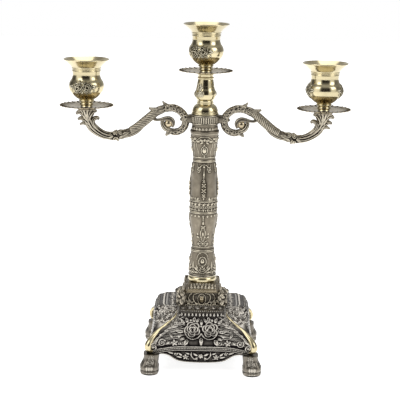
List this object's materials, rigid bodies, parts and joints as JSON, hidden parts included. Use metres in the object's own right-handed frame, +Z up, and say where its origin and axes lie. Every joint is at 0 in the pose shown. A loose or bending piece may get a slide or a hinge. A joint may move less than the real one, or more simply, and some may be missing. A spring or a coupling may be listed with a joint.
{
  "type": "tabletop candelabra",
  "caption": "Tabletop candelabra: candle cups on scrolled arms and a turned centre stem, on a column with a bombe footed base; each cup unscrews.",
  "frame": {"origin": "middle of the square footprint, on the surface that the felt pads stand on", "axes": "+Z up along the column, X along the two arms, -Y towards the front; right arm at +X"},
  "size_m": [0.295, 0.1232, 0.35],
  "materials": {
    "antique_brass": "antique brass plated zinc casting, dark patina in the recesses",
    "polished_brass": "polished antique brass plate",
    "aged_bronze": "darkened bronze plate, highlights rubbed bright",
    "steel": "zinc plated steel fastener",
    "felt": "black wool felt"
  },
  "bodies": {
    "root": {"base_body": "aged_bronze", "plinth": "aged_bronze", "foot_screws": "steel", "foot_pads": "felt", "column_base_ring": "antique_brass", "column_foot": "aged_bronze", "column_lower_shaft": "aged_bronze", "column_band": "aged_bronze", "column_upper_shaft": "aged_bronze", "column_head": "aged_bronze", "hub_ring": "antique_brass", "left_arm": "aged_bronze", "right_arm": "aged_bronze", "arm_screws": "steel", "dome": "polished_brass", "baluster": "polished_brass", "tie_rod": "steel", "tie_rod_washer": "steel", "tie_rod_nut": "steel", "foot_front_left": "aged_bronze", "foot_front_right": "aged_bronze", "foot_back_left": "aged_bronze", "foot_back_right": "aged_bronze", "left_drip_pan": "antique_brass", "left_cup_stud": "steel", "centre_drip_pan": "antique_brass", "centre_cup_stud": "steel", "right_drip_pan": "antique_brass", "right_cup_stud": "steel"},
    "left_washer": {"left_cup_washer": "steel"},
    "left_cup": {"left_candle_cup": "polished_brass"},
    "centre_washer": {"centre_cup_washer": "steel"},
    "centre_cup": {"centre_candle_cup": "polished_brass"},
    "right_washer": {"right_cup_washer": "steel"},
    "right_cup": {"right_candle_cup": "polished_brass"}
  },
  "joints": [
    {"name": "left_cup_turn", "type": "hinge", "parent": "root", "child": "left_washer", "pos_m": [-0.12, 0, 0.2645], "axis": [0, 0, 1], "range_deg": [0, 2160]},
    {"name": "left_cup_rise", "type": "slide", "parent": "left_washer", "child": "left_cup", "axis": [0, 0, 1], "range_m": [0, 0.00601]},
    {"name": "centre_cup_turn", "type": "hinge", "parent": "root", "child": "centre_washer", "pos_m": [0, 0, 0.3015], "axis": [0, 0, 1], "range_deg": [0, 2160]},
    {"name": "centre_cup_rise", "type": "slide", "parent": "centre_washer", "child": "centre_cup", "axis": [0, 0, 1], "range_m": [0, 0.00601]},
    {"name": "right_cup_turn", "type": "hinge", "parent": "root", "child": "right_washer", "pos_m": [0.12, 0, 0.2645], "axis": [0, 0, 1], "range_deg": [0, 2160]},
    {"name": "right_cup_rise", "type": "slide", "parent": "right_washer", "child": "right_cup", "axis": [0, 0, 1], "range_m": [0, 0.00601]}
  ],
  "couplings": [
    {"joint": "left_cup_rise", "follows": "left_cup_turn", "m_per_rad": 0.00015915},
    {"joint": "centre_cup_rise", "follows": "centre_cup_turn", "m_per_rad": 0.00015915},
    {"joint": "right_cup_rise", "follows": "right_cup_turn", "m_per_rad": 0.00015915}
  ]
}
